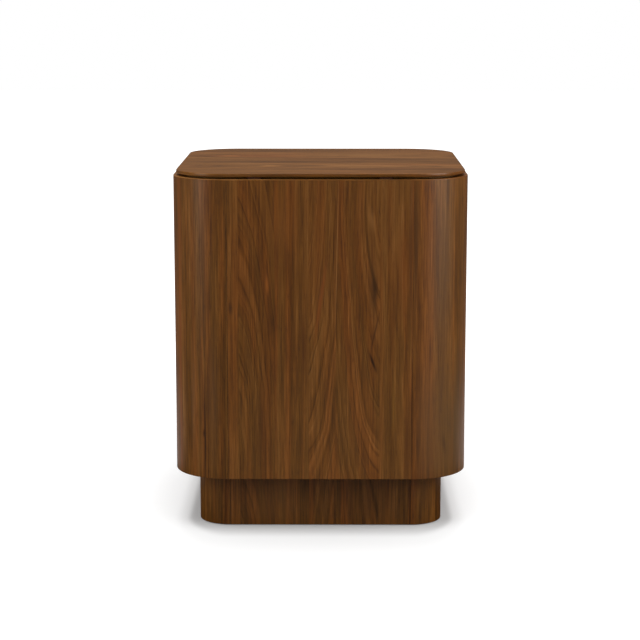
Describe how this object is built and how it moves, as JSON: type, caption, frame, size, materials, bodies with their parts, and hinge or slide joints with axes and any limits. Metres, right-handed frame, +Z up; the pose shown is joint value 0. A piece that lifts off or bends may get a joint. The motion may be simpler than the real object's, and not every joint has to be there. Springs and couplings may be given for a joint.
{
  "type": "storage side table",
  "caption": "Square storage side table with rounded corners: a veneered box on a recessed plinth, closed by a lift-off lid set over a shadow gap",
  "frame": {"origin": "on the floor under the middle of the table", "axes": "+Z up, towards the lid; the front shown in the picture faces -Y; +X is the picture's right"},
  "size_m": [0.45, 0.45, 0.55],
  "materials": {
    "body_veneer": "walnut veneer with upright grain on board, satin lacquer",
    "plinth_veneer": "walnut veneer with upright grain on board, satin lacquer",
    "lid_veneer": "walnut veneer with grain from left to right on board, satin lacquer",
    "bottom_board": "veneered board, satin lacquer",
    "spline_plywood": "birch plywood, glued in",
    "softwood": "planed softwood, bare",
    "felt": "dark brown wool felt, self-adhesive",
    "pad_rubber": "soft dark pad, self-adhesive",
    "screw_steel": "zinc-plated steel"
  },
  "bodies": {
    "case": {"back_panel": "body_veneer", "bottom_board": "bottom_board", "case_splines": "spline_plywood", "cleat_screws": "screw_steel", "corner_back_left": "body_veneer", "corner_back_right": "body_veneer", "corner_front_left": "body_veneer", "corner_front_right": "body_veneer", "foot_pads": "felt", "front_panel": "body_veneer", "left_panel": "body_veneer", "lid_pads": "pad_rubber", "plinth_back_cleat": "softwood", "plinth_back_rail": "plinth_veneer", "plinth_block_back_left": "softwood", "plinth_block_back_right": "softwood", "plinth_block_front_left": "softwood", "plinth_block_front_right": "softwood", "plinth_corner_back_left": "plinth_veneer", "plinth_corner_back_right": "plinth_veneer", "plinth_corner_front_left": "plinth_veneer", "plinth_corner_front_right": "plinth_veneer", "plinth_front_cleat": "softwood", "plinth_front_rail": "plinth_veneer", "plinth_left_cleat": "softwood", "plinth_left_rail": "plinth_veneer", "plinth_right_cleat": "softwood", "plinth_right_rail": "plinth_veneer", "plinth_splines": "spline_plywood", "right_panel": "body_veneer", "rim_band": "body_veneer"},
    "lid": {"lid_board": "lid_veneer", "lid_edge_band": "lid_veneer"}
  },
  "joints": [
    {"name": "lid_lift", "type": "slide", "parent": "case", "child": "lid", "axis": [0, 0, 1], "range_m": [0, 0.25]}
  ]
}
